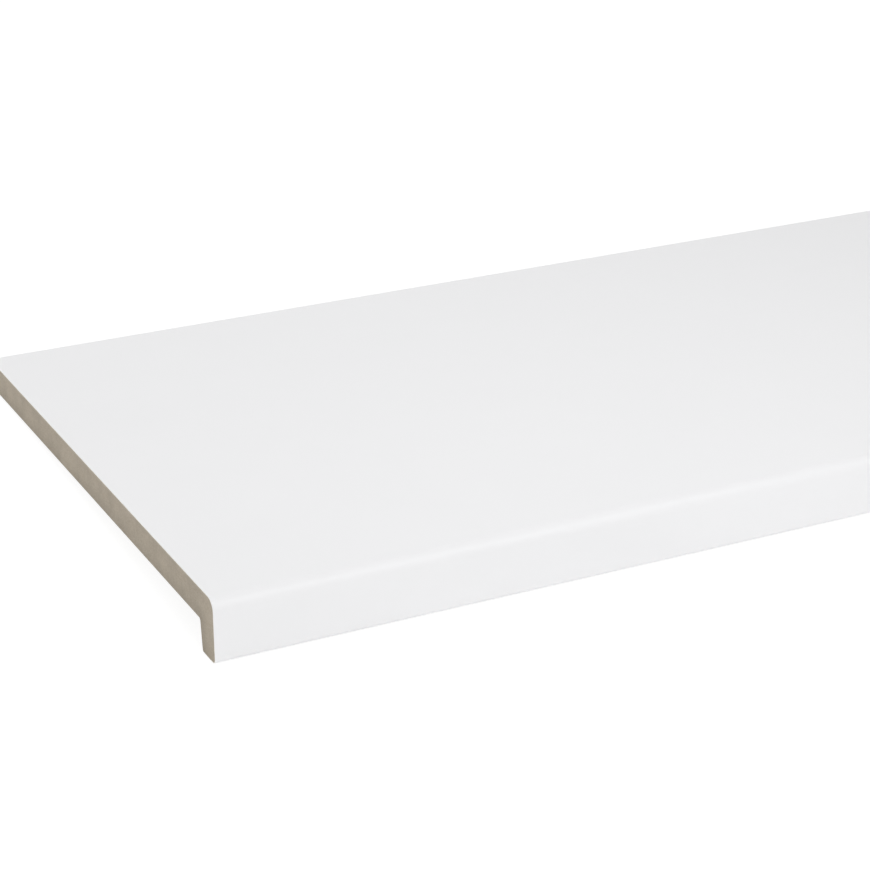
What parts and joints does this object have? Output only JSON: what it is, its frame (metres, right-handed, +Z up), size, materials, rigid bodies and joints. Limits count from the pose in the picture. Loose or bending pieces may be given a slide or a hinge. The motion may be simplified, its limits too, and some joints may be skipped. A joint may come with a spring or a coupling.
{
  "type": "window sill board",
  "caption": "Window sill board with a white laminate top, a rounded front edge and a short nose hanging below it, sawn square at both ends to bare fibreboard.",
  "frame": {"origin": "on the floor under the middle of the bounding box, with the board lying on the heel of its nose and on its rear lower edge", "axes": "+X along the board's length, -Y towards its rounded front, +Z up; the top face slopes down to the rear by the resting tilt"},
  "size_m": [1, 0.4012, 0.0384],
  "materials": {
    "mdf": "bare sawn fibreboard, fine and even, no grain",
    "white_laminate": "smooth satin white"
  },
  "bodies": {
    "root": {"mdf_core": "mdf", "laminate_facing": "white_laminate"}
  },
  "joints": []
}
